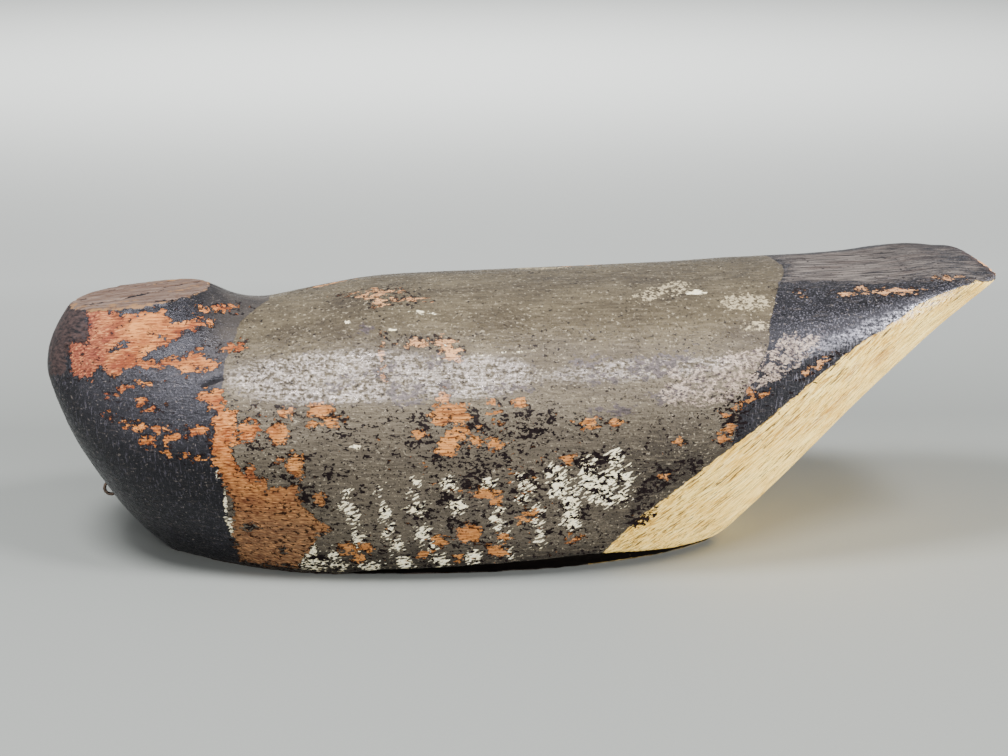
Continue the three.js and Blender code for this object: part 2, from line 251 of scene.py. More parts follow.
# Pale scuffs on the back, and pale spots and scratches
NEAR_SCUFFS = [
    (65, 109, 6, 2.6, 10), (54, 106, 7, 2.2, 15), (94, 101, 9.5, 3.5), (95, 90, 3.8, 1.8),
]
FAR_SCUFFS = [(10, 106, 9, 2.5, 8), (-40, 96, 7, 2)]
PALE_SPOTS = [
    (74, 106, 3.4, 1.1), (-78, 41, 2.5, 0.9), (-49, 99, 4.5, 0.3, -8), (-61, 91, 1.7, 0.5),
    (-81, 95, 0.8, 0.6), (-137, 30, 0.8, 3.4), (-134.6, 17, 0.7, 7), (-132.6, 6, 0.9, 4),
    (-28, 79, 6, 0.1, 4), (-40, 84, 2, 1.2),
]
# Where handling has polished the paint
NEAR_RUBBED = [
    (-84, 71, 46, 11, 1), (-32, 70, 30, 9), (44, 72, 36, 4, 3), (152, 90.5, 34, 3.2, 19.4),
]
FAR_RUBBED = [(-70, 70, 60, 10), (60, 72, 50, 6, 6), (152, 90.5, 34, 3.2, 19.4)]
# Ochre and brown stains on the undertail
NEAR_STAINS = [
    (154, 75, 6, 2.4, 40), (139, 69, 5.3, 2, 40), (132, 53, 15, 1, 42), (96, 42, 1.9, 1.9),
    (108, 44, 9, 0.8, 42), (150, 86, 12, 0.8, 40), (182, 102, 2.2, 2), (120, 60, 8, 0.7, 42),
]
FAR_STAINS = [(150, 78, 7, 2, 40), (120, 52, 12, 1, 42), (100, 36, 4, 2, 40)]
# The weathered strip along the tail's top, as (x, half width)
TAIL_TOP_FROM = 100.0
TAIL_TOP = [(104, 27), (118, 31), (135, 34), (164, 38), (183, 43), (196, 48), (218, 70)]
# The worn band on the rump's shoulder, narrower on the far side, and the dark crust at the nose
WORN_BAND = [
    (77, 76), (99, 81), (111, 87), (114, 84), (122, 86), (123, 79), (113, 73), (104, 67), (95, 62),
    (86, 57), (68, 56), (57, 57), (51, 61), (57, 71),
]
NOSE_CRUST = [
    (-212, 108), (-198, 106), (-195, 95), (-196, 88), (-204, 89), (-206, 74), (-214, 74), (-216, 90),
]

# How high a field may rise, so that the noise added to it tears its mark all through
RAGGED = {"undercoat": 0.35, "thin": 0.5, "dashes": 0.9, "scuffs": 0.1, "worn_band": 0.9}
BAND_NARROWER = 3.0  # on the far side
RUBBED_EDGE = (-2.0, 1.5)  # the polish's soft edge
SOUND = -2.4  # how far sound paint is from flaking
LOW_SHADE_W = (28.0, 66.0)  # painted shade darkens the flank low down, by w
LOW_SHADE_X = (0.0, 66.0)  # and most so towards the tail, on the side turned from the light
LOW_SHADE_Z = (6.0, 36.0)  # and all round near the ground

# Fine checks in the wood
SEAT_CHECKS = [  # on the seat: from and to as (x, y), and the width
    ((-198, -11), (-188, -9.5), 3.2), ((-190, -9.5), (-176, -6), 0.8), ((-180, -6.5), (-170, -1), 3.6),
    ((-172, -1), (-164, 1), 0.8), ((-203, 13), (-188, 15), 0.8), ((-184, 16), (-160, 18), 0.5),
    ((-182, 28), (-161, 27), 0.6), ((-170, -23), (-152, -21), 0.9), ((-164, 6), (-147, 9), 0.7),
    ((-206, 1), (-196, 3), 0.5),
]
SPLINTER = ((-144, 68), (-134, 71.5), 0.9)  # on the near side: from and to as (x, w), and the width


def linear(code):
    """An sRGB hex colour as the linear colour that a socket takes."""
    parts = [int(code[i:i + 2], 16) / 255 for i in (1, 3, 5)]
    return [c / 12.92 if c <= 0.04045 else ((c + 0.055) / 1.055) ** 2.4 for c in parts] + [1.0]


def only(obj):
    """Makes this the one object that is selected and active."""
    bpy.ops.object.select_all(action="DESELECT")
    obj.select_set(True)
    bpy.context.view_layer.objects.active = obj


def apply(obj, kind, **settings):
    """Adds a modifier with its settings and applies it."""
    modifier = obj.modifiers.new(kind.lower(), kind)
    for key, value in settings.items():
        setattr(modifier, key, value)
    only(obj)
    bpy.ops.object.modifier_apply(modifier=modifier.name)


def copy_of(node, name):
    """A copy of a CAD node's mesh as a new object, its triangles merged and its sharp edges creased."""
    made = bpy.data.objects.new(name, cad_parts[node].data.copy())
    bpy.context.scene.collection.objects.link(made)
    made.data.materials.clear()
    only(made)
    bpy.ops.object.mode_set(mode="EDIT")
    bpy.ops.mesh.select_mode(type="EDGE")
    bpy.ops.mesh.select_all(action="SELECT")
    bpy.ops.mesh.remove_doubles(threshold=MERGE_WITHIN * MM)
    bend, skew = math.radians(QUAD_BEND), math.radians(QUAD_SKEW)
    bpy.ops.mesh.tris_convert_to_quads(face_threshold=bend, shape_threshold=skew)
    bpy.ops.mesh.select_all(action="DESELECT")
    bpy.ops.mesh.edges_select_sharp(sharpness=math.radians(CREASE_FROM))
    bpy.ops.transform.edge_crease(value=1)
    bpy.ops.object.mode_set(mode="OBJECT")
    return made


def read(mesh, what):
    """The vertices' co or normal as rows of three."""
    values = np.empty(len(mesh.vertices) * 3, np.float32)
    mesh.vertices.foreach_get(what, values)
    return values.reshape(-1, 3).astype(float)


def write(mesh, places):
    mesh.vertices.foreach_set("co", (places * MM).astype(np.float32).ravel())
    mesh.update()


def store(mesh, name, values):
    """Keeps one number for each vertex, for the material to read."""
    kept = mesh.attributes.new(name, "FLOAT", "POINT")
    kept.data.foreach_set("value", np.asarray(values, np.float32))


def step(values, low, high):
    """0 up to low, 1 from high on, smooth between."""
    t = np.clip((values - low) / (high - low), 0, 1)
    return t * t * (3 - 2 * t)


def waves(places, size, stretch=1.0, shift=0.0):
    """Smooth noise from about -1 to 1, with features of that size, drawn out along x."""
    scaled = places / (size * np.array([stretch, 1, 1])) + shift
    return np.array([noise.noise(Vector(p)) for p in scaled])


def outline_field(corners, x, w):
    """How far inside a closed outline each place is; outside it is negative."""
    points = np.array(corners, float)
    nearest = np.full(len(x), 1e9)
    inside = np.zeros(len(x), bool)
    for (x0, w0), (x1, w1) in zip(points, np.roll(points, -1, axis=0)):
        run, rise = x1 - x0, w1 - w0
        along = np.clip(((x - x0) * run + (w - w0) * rise) / (run * run + rise * rise), 0, 1)
        nearest = np.minimum(nearest, np.hypot(x - x0 - along * run, w - w0 - along * rise))
        crosses = (w0 > w) != (w1 > w)
        inside ^= crosses & (x < x0 + (w - w0) * run / (rise if rise else 1))
    return np.where(inside, nearest, -nearest)


def spots_field(spots, x, w):
    """The same for oval spots."""
    best = np.full(len(x), -FAR_OUT)
    for x0, w0, length, height, *tilt in spots:
        turn = math.radians(tilt[0]) if tilt else 0
        along = (x - x0) * math.cos(turn) + (w - w0) * math.sin(turn)
        up = (w - w0) * math.cos(turn) - (x - x0) * math.sin(turn)
        best = np.maximum(best, (1 - np.hypot(along / length, up / height)) * min(length, height))
    return best


class Skin:
    """The body's vertices: their places in mm, their normals, and how each side of the body sees them."""

    def __init__(self, mesh):
        self.place = read(mesh, "co") / MM
        self.normal = read(mesh, "normal")
        self.x, self.y, self.z = self.place.T
        self.up = self.normal[:, 2]
        self.seen = {}
        for side, sign in (("near", -1), ("far", 1)):
            w = self.z * math.cos(VIEW_LIFT) - sign * self.y * math.sin(VIEW_LIFT)
            facing = sign * self.normal[:, 1] * math.cos(VIEW_LIFT) + self.up * math.sin(VIEW_LIFT)
            self.seen[side] = (w, facing)
        self.w = np.where(self.y < 0, self.seen["near"][0], self.seen["far"][0])

    def marks(self, side, outlines=(), spots=()):
        """The field of marks on one side, which stop where the skin turns away from it."""
        w, facing = self.seen[side]
        field = spots_field(spots, self.x, w)
        for outline in outlines:
            field = np.maximum(field, outline_field(outline, self.x, w))
        return np.maximum(field, -FAR_OUT) - FAR_OUT * np.clip(0.1 - facing, 0, 1)

    def spots(self, near, far):
        """The field of spots on both sides."""
        return np.maximum(self.marks("near", (), near), self.marks("far", (), far))

    def behind(self, line):
        """How far behind an edge that crosses both sides each place is, along x."""
        height, where = zip(*line)
        crown = np.where(self.y > 0, step(self.up, 0.55, 0.9), 0)
        w = self.w + crown * (np.maximum(self.w, CROWN_W) - self.w)
        return self.x - np.interp(w, height, where)


def far_dashes():
    """The far side's dashes, each a little shorter than the one below it."""
    dashes = []
    for column in range(FAR_DASH_COLUMNS):
        for row in range(FAR_DASH_ROWS):
            stray = noise.noise(Vector((1.7 * column, 2.3 * row, 0.5)))
            lean = DASH_LEAN * (row - FAR_DASH_ROWS // 2)
            x = DASH_FIRST_X + DASH_COLUMN_GAP * column - lean + DASH_STRAY[0] * stray
            w = DASH_LOWEST_W + DASH_ROW_GAP * row + DASH_STRAY[1] * stray
            if stray < DASH_KEPT_UNDER:
                dashes.append((x, w, DASH_HALF_LENGTH - DASH_SHRINK * row, DASH_HALF_HEIGHT))
    return dashes


def check_field(places, start, end, width):
    """How far inside a narrow check each place is; it tapers to its two ends, and outside it is negative."""
    start, run = np.array(start), np.subtract(end, start)
    along = np.clip(((places - start) @ run) / (run @ run), 0, 1)
    away = np.linalg.norm(places - start - along[:, None] * run, axis=1)
    return 0.5 * width * np.sin(math.pi * np.clip(along, 0.1, 0.9)) - away


def checks_field(skin, seat_drop):
    """The splinter on the near side, and the seat's checks, which wander a little."""
    near, facing = skin.seen["near"]
    splinter = check_field(np.stack([skin.x, near], axis=1), *SPLINTER)
    field = np.where(facing > 0.2, splinter, -FAR_OUT)
    wander = np.stack([waves(skin.place, 5, 1, 31), waves(skin.place, 5, 1, 37)], axis=1)
    on_seat = seat_drop < 0.6
    for start, end, width in SEAT_CHECKS:
        check = check_field(skin.place[:, :2] + wander, start, end, width)
        field = np.where(on_seat, np.maximum(field, check), field)
    return field


def bare_field(skin):
    """Bare wood: patches and spots without the islands of paint in them, and the break at the tail."""
    near = skin.marks("near", NEAR_BARE_OUTLINES, NEAR_BARE_SPOTS)
    far = skin.marks("far", FAR_BARE_OUTLINES, FAR_BARE_SPOTS)
    bare = np.minimum(np.maximum(near, far), -skin.marks("near", (), NEAR_ISLANDS))
    return np.maximum(bare, step(skin.x, *TAIL_BARE) * 6 - 5)


def wear_field(skin):
    """How close the paint is to flaking everywhere: worst low on the flanks, least on the undertail and
    the low breast."""
    flank = step(skin.x, -150, -120) * (1 - step(skin.x, 20, 80)) * (1 - step(skin.w, 50, 66))
    back = step(skin.w, 84, 92)
    breast = (1 - step(skin.x, -140, -130)) * (1 - step(skin.w, 40, 60))
    field = SOUND + 0.8 * flank - 0.7 * back - 1.2 * breast
    return field + 0.9 * waves(skin.place, 24, 1.6, 21)


def low_shade_share(skin):
    """How far painted shade darkens the olive paint low down, from 0 to 1."""
    flank = 0.9 * (1 - step(skin.w, *LOW_SHADE_W)) * (0.55 + 0.45 * step(skin.x, *LOW_SHADE_X))
    return np.maximum(flank, 0.95 * (1 - step(skin.z, *LOW_SHADE_Z)))


def crust_field(skin):
    """The dark crust at the nose, and the soiling just before the break at the tail."""
    nose = np.maximum(skin.marks("near", [NOSE_CRUST]), skin.marks("far", [NOSE_CRUST]))
    sets_in, full, thins, gone = TAIL_GRIME
    tail = 5 * step(skin.x, sets_in, full) - 4 - 3.5 * step(skin.x, thins, gone)
    return np.where(skin.up > -0.3, np.maximum(nose, tail), nose)


def painted_fields(skin):
    """The areas of paint and the marks on them, by the names that the material reads."""
    slope_x, slope_z = zip(*UNDERTAIL_EDGE)
    undertail = UNDERTAIL_FALL * (np.interp(skin.x, slope_x, slope_z) - skin.z)
    strip = np.interp(skin.x, *zip(*TAIL_TOP)) - np.abs(skin.y)
    strip = np.minimum(strip, -undertail - 0.5)
    on_top = (skin.x > TAIL_TOP_FROM) & (skin.up > -0.2)
    far_band = skin.marks("far", [WORN_BAND]) - BAND_NARROWER
    fields = {
        "breast": -skin.behind(BREAST_EDGE),
        "rump": skin.behind(RUMP_EDGE),
        "undertail": undertail,
        "tail_top": np.where(on_top, strip, -FAR_OUT),
        "undercoat": skin.spots(NEAR_DARK_SPOTS, FAR_DARK_SPOTS),
        "thin": skin.spots(NEAR_THIN_SPOTS, FAR_THIN_SPOTS),
        "dashes": skin.spots(NEAR_DASHES, far_dashes()) - 0.3,
        "scuffs": skin.spots(NEAR_SCUFFS, FAR_SCUFFS),
        "stains": skin.spots(NEAR_STAINS, FAR_STAINS),
        "pale_spots": skin.marks("near", (), PALE_SPOTS),
        "worn_band": np.maximum(skin.marks("near", [WORN_BAND]), far_band),
        "rubbed": step(skin.spots(NEAR_RUBBED, FAR_RUBBED), *RUBBED_EDGE),
        "wear": wear_field(skin),
        "low_shade": low_shade_share(skin),
        "crust": crust_field(skin),
    }
    for name, most in RAGGED.items():
        fields[name] = np.minimum(fields[name], most)
    return fields


def carved_body():
    """The block, and its fields: an even skin over the CAD form, tool flats, lost paint, checks, chips."""
    body = copy_of("decoy_body", "carved_body")
    apply(body, "SUBSURF", levels=2, render_levels=2)
    plug_staple_holes(body)
    apply(body, "REMESH", mode="VOXEL", voxel_size=SKIN_SPACING * MM, adaptivity=0, use_smooth_shade=True)
    apply(body, "SMOOTH", factor=0.5, iterations=3)
    refine_seat(body)

    skin = Skin(body.data)
    seat_drop = np.where(skin.x < SEAT_REAR[0] + 6, seat_height(skin.x) - skin.z, FAR_OUT)
    sole = 1 - step(skin.z, 0, FLAT_SOLE)
    underside = sole * step(-skin.up, 0.7, 0.9)
    worn_in = undercut(skin)
    bare = bare_field(skin)
    checks = checks_field(skin, seat_drop)
    fields = painted_fields(skin)
    fields.update(bare=bare, checks=checks, seat_drop=seat_drop, underside=underside)
    # painted shade: marks the undercut along the underside's edges, coloured near black where it lies in
    # shade
    fields["dirt"] = (1 - underside) * step(worn_in, 0.1, 0.8)
    for name, values in fields.items():
        store(body.data, name, values)

    cut = 0.35 * np.abs(waves(skin.place, 26, 2.6)) + 0.25 * (1 + waves(skin.place, 60, 2, 7))
    cut += flat_cut(skin, "near", NEAR_SHOULDER_FLAT, FLAT_DEPTH)
    cut += flat_cut(skin, "near", NEAR_REAR_FLAT, REAR_FLAT_DEPTH)
    cut += flat_cut(skin, "near", NEAR_RUMP_FLAT, RUMP_FLAT_DEPTH)
    cut += flat_cut(skin, "far", FAR_SHOULDER_FLAT, FLAT_DEPTH)
    cut += PAINT_DEPTH * step(bare + 2 * waves(skin.place, 5, 1.6), -0.8, 0.8)
    cut += 0.12 * (1 + waves(skin.place, 3.4, 3, 3))
    rim = step(seat_drop, -0.2, 0.4) * (1 - step(seat_drop, 1.2, 4))
    cut += SEAT_CHIPS * rim * step(waves(skin.place, 6, 1, 11), -0.1, 0.6)
    cut += CHECK_DEPTH * step(checks, -0.8, 0.4)
    cut *= 1 - sole
    place = skin.place - skin.normal * cut[:, None]
    place[:, 1] -= np.sign(place[:, 1]) * worn_in
    write(body.data, blunt_tail(place, skin.up))
    return body, fields


# The plugs in the staple's two drilled holes
WIRE_RADIUS = 0.75
PLUG_RADIUS = 1.5
PLUG_LENGTH = 8.4
PLUG_MIDDLE = 3.4  # from a leg's inner end


def plug_staple_holes(body):
    """Fills the two drilled holes a little below the surface, so that the wire stands in a small dimple."""
    staple = read(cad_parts["line_tie_staple"].data, "co")
    middle = staple.mean(axis=0)
    out = np.linalg.svd(staple - middle, full_matrices=False)[2][0]
    out = out if out[0] < 0 else -out
    reach = (staple - middle) @ out
    sideways = np.cross(out, [0, 1, 0])
    half_gap = np.abs((staple - middle) @ sideways).max() - WIRE_RADIUS * MM
    inner = middle + out * reach.min()
    for sign in (-1, 1):
        root = inner + sign * half_gap * sideways + out * PLUG_MIDDLE * MM
        bpy.ops.mesh.primitive_cylinder_add(
            vertices=12, radius=PLUG_RADIUS * MM, depth=PLUG_LENGTH * MM, location=root,
            rotation=Vector(out).to_track_quat("Z", "Y").to_euler(),
        )
        plug = bpy.context.object
        only(body)
        plug.select_set(True)
        bpy.ops.object.join()


def flat_cut(skin, side, line, depth):
    """How deep a drawknife flat is cut: like a chord across the shoulder's round, with crisp edges."""
    x, low, high = (np.array(column, float) for column in zip(*line))
    w, facing = skin.seen[side]
    lower = np.interp(skin.x, x, low)
    upper = np.interp(skin.x, x, high)
    across = np.clip((w - lower) / (upper - lower), 0, 1)
    ends = step(skin.x, x[0], x[0] + FLAT_RUN_OUT) * (1 - step(skin.x, x[-1] - FLAT_RUN_OUT, x[-1]))
    return depth * 4 * across * (1 - across) * ends * step(facing, 0.1, 0.3)


def undercut(skin):
    """How far each place along the underside's edges is worn in towards the middle."""
    edge = np.interp(skin.x, *zip(*UNDERCUT_EDGE))
    under = 1 - step(skin.z, np.maximum(edge - UNDERCUT_LIP, 0), edge + 0.1)
    under = np.where(edge > UNDERCUT_RUN_IN[0], under, 0)
    sides = step(np.abs(skin.y), *UNDERCUT_MIDDLE)
    return UNDERCUT_DEPTH * under * sides * step(edge, *UNDERCUT_RUN_IN)


def seat_height(x):
    """The height of the neck seat's plane."""
    return np.interp(x, *zip(SEAT_FRONT, SEAT_REAR), left=SEAT_FRONT[1], right=SEAT_REAR[1])


def refine_seat(body):
    behind, below = SEAT_MARGIN
    for polygon in body.data.polygons:
        x, _, z = polygon.center / MM
        polygon.select = bool(x < SEAT_REAR[0] + behind and z > seat_height(x) - below)
    only(body)
    bpy.ops.object.mode_set(mode="EDIT")
    bpy.ops.mesh.select_mode(type="FACE")
    bpy.ops.mesh.subdivide(number_cuts=1)
    bpy.ops.object.mode_set(mode="OBJECT")


def blunt_tail(place, up):
    """The tail's point is broken off blunt: pulled back, lifted on top and chipped."""
    x = place[:, 0]
    kept = (TAIL_BROKEN_AT - TAIL_PULLED_FROM) / (TAIL_POINT - TAIL_PULLED_FROM)
    pulled = np.where(x > TAIL_PULLED_FROM, TAIL_PULLED_FROM + (x - TAIL_PULLED_FROM) * kept, x)
    chips = TAIL_CHIPS * step(x, 209, 214) * step(waves(place, 3.5, 1, 5), 0, 0.5)
    made = place.copy()
    made[:, 0] = pulled - chips
    made[:, 2] += TAIL_LIFT * step(x, 200, 214) * step(up, 0, 0.5)
    low, high = (np.array(corner) / MM for corner in cad_box)
    return np.clip(made, low, high)


def wire_staple():
    """The line tie: a bent wire, rounder than the CAD one and a little uneven from the hammer."""
    staple = copy_of("line_tie_staple", "bent_wire_line_tie")
    apply(staple, "SUBSURF", levels=2, render_levels=2)
    only(staple)
    bpy.ops.object.shade_smooth()
    mesh = staple.data
    place, normal = read(mesh, "co") / MM, read(mesh, "normal")
    uneven = 0.03 + 0.03 * waves(place, 1.6)
    write(mesh, place + normal * uneven[:, None])
    return staple


def fill(tree, node, inputs):
    """Gives a node's inputs their values or links."""
    for key, value in inputs.items():
        if isinstance(value, bpy.types.NodeSocket):
            tree.links.new(value, node.inputs[key])
        else:
            node.inputs[key].default_value = value


def add(tree, kind, inputs=None, out=0, **settings):
    """Adds a shader node of that kind with its settings and inputs, and gives one of its outputs."""
    made = tree.nodes.new("ShaderNode" + kind)
    for key, value in settings.items():
        setattr(made, key, value)
    fill(tree, made, inputs or {})
    return made.outputs[out]


MIX_A, MIX_B, MIX_COLOUR = 6, 7, 2  # a colour mix's sockets


def mixed(tree, mask, under, over):
    """One colour over another where the mask is 1."""
    return add(tree, "Mix", {0: mask, MIX_A: under, MIX_B: over}, MIX_COLOUR, data_type="RGBA")


def mixed_value(tree, mask, under, over):
    """The same for numbers."""
    return add(tree, "Mix", {0: mask, 2: under, 3: over})


def laid(tree, mask, under, over):
    """One finish over another where the mask is 1. A finish is its colour, roughness and height in mm."""
    rough = mixed_value(tree, mask, under[1], over[1])
    height = mixed_value(tree, mask, under[2], over[2])
    return mixed(tree, mask, under[0], over[0]), rough, height


def summed(tree, *terms):
    """The sum of values; one that counts more or less is given as (value, factor)."""
    total = 0.0
    for term in terms:
        value, factor = term if isinstance(term, tuple) else (term, 1.0)
        total = add(tree, "Math", {0: value, 1: factor, 2: total}, operation="MULTIPLY_ADD")
    return total


def either(tree, *fields):
    """The larger of fields."""
    largest = fields[0]
    for field in fields[1:]:
        largest = add(tree, "Math", {0: largest, 1: field}, operation="MAXIMUM")
    return largest


def both(tree, one, other):
    """A mask of where two masks both are."""
    return add(tree, "Math", {0: one, 1: other}, operation="MULTIPLY")


def within(tree, field, edge=0.2):
    """A mask that is 1 inside a field's edge, which is that soft."""
    return add(tree, "MapRange", {0: field, 1: -edge, 2: edge}, interpolation_type="SMOOTHSTEP")


def share(tree, value, start, end, most=1.0):
    """0 at the start value and most at the end value."""
    return add(tree, "MapRange", {0: value, 1: start, 2: end, 4: most})


def grain_of(tree, place, stretch, size, detail, roughness=0.55, turn=(0, 0, 0)):
    """Noise from -1 to 1 whose features have that size, drawn out by the stretch along each axis."""
    scale = [1 / (size * s) for s in stretch]
    turned = add(tree, "Mapping", {"Vector": place, "Rotation": turn}, vector_type="TEXTURE")
    sized = add(tree, "VectorMath", {0: turned, 1: scale}, operation="MULTIPLY")
    inputs = {"Vector": sized, "Scale": 1.0, "Detail": detail, "Roughness": roughness}
    value = add(tree, "TexNoise", inputs)
    return add(tree, "Math", {0: value, 1: 4.0, 2: -2.0}, operation="MULTIPLY_ADD")


def shaded(tree, value, dark, light, spread=1.0):
    """A colour between two, moved by noise."""
    return mixed(tree, share(tree, value, -spread, spread), linear(dark), linear(light))


def toned(tree, colour, tones):
    """A colour with others over it, each where a value goes from one number to another, up to its share."""
    for value, start, end, most, code in tones:
        colour = mixed(tree, share(tree, value, start, end, most), colour, linear(code))
    return colour


def new_material(name):
    """An empty material with its shader and the place in mm."""
    material = bpy.data.materials.new(name)
    material.use_nodes = True
    tree = material.node_tree
    shader = tree.nodes["Principled BSDF"]
    here = add(tree, "TexCoord", out="Object")
    place = add(tree, "VectorMath", {0: here, "Scale": 1 / MM}, operation="SCALE")
    return material, tree, shader, place


# Pattern sizes are those of the real thing. Wood fibre, crazing and paint specks are finer than a pixel, so
# they are drawn 0.7 to 1 mm across, which is as coarse as they need to show.
RING_GAP = 1.25  # between growth rings
HEART = (0.0, -160.0, -260.0)  # where the log's heart ran, along x, well below the block
STROKE_SLOPE = math.radians(-32)  # the dashes' brush strokes rise to the tail
UNDERTAIL_SLOPE = math.radians(-41)


def cedar(tree, place, noises):
    """Bare cedar, hand cut: growth rings as fine dark lines, orange where it is fresh, redder round the nose,
    tan up on the shoulder, brown low down, and crackled with old paint. Dry and matt."""
    fleck = noises["fleck"]
    centred = add(tree, "VectorMath", {0: place, 1: HEART}, operation="SUBTRACT")
    links = {
        "Vector": centred, "Scale": math.pi / 10 / RING_GAP, "Distortion": 5.0, "Detail": 3.0,
        "Detail Scale": 0.3, "Detail Roughness": 0.65,
    }
    rings = add(tree, "TexWave", links, 1, wave_type="RINGS", rings_direction="X")
    fibre = grain_of(tree, place, (7, 1, 1), 0.8, 3)
    stain = grain_of(tree, place, (1.6, 1, 1), 7, 4)
    along = add(tree, "SeparateXYZ", {0: place})
    height = add(tree, "SeparateXYZ", {0: place}, 2)
    colour = shaded(tree, stain, "#874422", "#cf8747", 0.6)
    colour = toned(tree, colour, [
        (along, -172.0, -194.0, 0.85, "#793f34"),
        (along, -118.0, -100.0, 0.45, "#c08a52"),
    ])
    behind = share(tree, along, -120.0, -100.0)
    high = both(tree, share(tree, height, 82.0, 98.0, 0.6), behind)
    colour = mixed(tree, high, colour, linear("#d6a87c"))
    low = both(tree, share(tree, height, 66.0, 26.0, 0.9), share(tree, along, -75.0, -100.0))
    colour = mixed(tree, low, colour, linear("#735a44"))
    broken = share(tree, summed(tree, (fibre, 0.7), (stain, 0.7)), 0.5, -0.3, 0.9)
    line = both(tree, share(tree, rings, 0.5, 1.0, 0.45), broken)
    colour = mixed(tree, line, colour, linear("#53271a"))
    specks = summed(tree, fleck, (low, 0.2), (behind, 0.12))
    colour = toned(tree, colour, [
        (fibre, 0.2, 0.7, 0.5, "#df9d64"),
        (fibre, -0.15, -0.55, 0.75, "#4a2417"),
        (specks, 0.42, 0.62, 0.92, "#1d120e"),
    ])
    relief = summed(tree, (rings, -0.1), (fibre, -0.07), (fleck, -0.1))
    return colour, 0.75, relief


def weathered_cedar(tree, place, noises):
    """The neck seat, the tail's top and the underside: open grain gone grey brown, dark in its long lines,
    quite matt."""
    long_grain = grain_of(tree, place, (20, 1.6, 1.6), 1.0, 4, 0.66)
    wide = grain_of(tree, place, (5, 1.4, 1), 5, 3)
    colour = shaded(tree, long_grain, "#0f0c0b", "#857b73", 0.5)
    colour = toned(tree, colour, [
        (wide, -0.1, 0.6, 0.5, "#3b2b23"),
        (noises["fleck"], 0.35, 0.6, 0.85, "#110c0a"),
    ])
    return colour, 0.75, summed(tree, (long_grain, 0.25), (noises["fleck"], -0.08))


def olive_paint(tree, noises, low_shade, upward):
    """Grey olive oil paint, thin: embossed by the wood's grain, pitted dark, with pale rubbed specks and
    brush streaks; painted light pales it where it faces sideways, painted shade darkens it low down."""
    fleck, speck, streaks = noises["fleck"], noises["speck"], noises["streaks"]
    colour = shaded(tree, noises["blotch"], "#423a2e", "#615744", 0.7)
    # painted light: paler where the paint faces sideways rather than up, as if lit there
    colour = mixed(tree, share(tree, upward, 0.6, 0.2, 0.42), colour, linear("#82786a"))
    # painted shade: darker low on the flank, most towards the tail and near the ground
    colour = mixed(tree, low_shade, colour, linear("#231f1a"))
    colour = toned(tree, colour, [
        (streaks, 0.1, 0.8, 0.35, "#8c806c"),
        (streaks, -0.1, -0.7, 0.5, "#2a241d"),
        (speck, 0.5, 0.7, 0.6, "#aea28b"),
        (speck, -0.5, -0.65, 0.6, "#1a1511"),
        (fleck, -0.55, -0.62, 0.95, "#0a0807"),
    ])
    rough = add(tree, "MapRange", {0: fleck, 1: -0.5, 2: 0.5, 3: 0.5, 4: 0.25})
    return colour, rough, summed(tree, (streaks, 0.09), (speck, 0.07), (fleck, 0.15))


def black_paint(tree, place, noises, dust_and_painted_sheen, rear):
    """Slate black oil paint with a dull blue cast: crazed by fine upright cracks that have gone pale, most so
    on the rump, crossed by the wood's dark grain. Where it faces up in the hollow behind the neck seat it is
    paler, partly from dust and partly from a painted sheen."""
    fleck, streaks, blotch = noises["fleck"], noises["streaks"], noises["blotch"]
    crazing = grain_of(tree, place, (1, 1, 7), 0.75, 3, 0.6)
    colour = shaded(tree, blotch, "#09090a", "#18181b", 0.8)
    colour = mixed(tree, share(tree, crazing, 0.3, 0.6, 0.42), colour, linear("#5d5963"))
    pale = both(tree, share(tree, crazing, 0.2, 0.5, 0.45), rear)
    colour = mixed(tree, pale, colour, linear("#77747e"))
    colour = toned(tree, colour, [
        (streaks, 0.35, 0.7, 0.3, "#574e49"),
        (noises["speck"], 0.6, 0.75, 0.5, "#857b74"),
        (fleck, -0.3, -0.6, 0.8, "#040404"),
    ])
    # paler where it faces up behind the neck seat: partly dust, partly painted sheen
    patchy = both(tree, dust_and_painted_sheen, share(tree, blotch, -0.9, 0.5))
    colour = mixed(tree, patchy, colour, linear("#6a6158"))
    rough = add(tree, "MapRange", {0: fleck, 1: -0.5, 2: 0.5, 3: 0.5, 4: 0.27})
    return colour, rough, summed(tree, (crazing, 0.06), (streaks, -0.09), (fleck, 0.09))


def cream_paint(tree, place, noises, depth, stains):
    """Cream oil paint under the tail: thick and chalky, ochre along its upper edge and where it is stained,
    with long dark checks in the wood's grain showing through."""
    slope = (0, UNDERTAIL_SLOPE, 0)
    lines = grain_of(tree, place, (18, 1, 1), 0.7, 3, 0.7, slope)
    checks = grain_of(tree, place, (14, 1.2, 1), 0.9, 3, 0.6, slope)
    colour = shaded(tree, noises["blotch"], "#e4b44a", "#ffdd7a", 0.7)
    stained = summed(tree, (noises["tear"], 2.0), stains)
    colour = toned(tree, colour, [
        (depth, 6.0, 0.0, 0.6, "#f2c455"),
        (stained, -1.0, 1.0, 0.75, "#a8782f"),
        (lines, 0.08, 0.3, 0.75, "#a3762f"),
        (lines, -0.05, -0.3, 0.55, "#ffe9a4"),
        (checks, 0.38, 0.43, 0.9, "#2e1e0c"),
        (noises["fleck"], 0.6, 0.8, 0.85, "#553d22"),
    ])
    return colour, 0.5, summed(tree, (lines, -0.14), (checks, -0.1), (noises["speck"], 0.04))


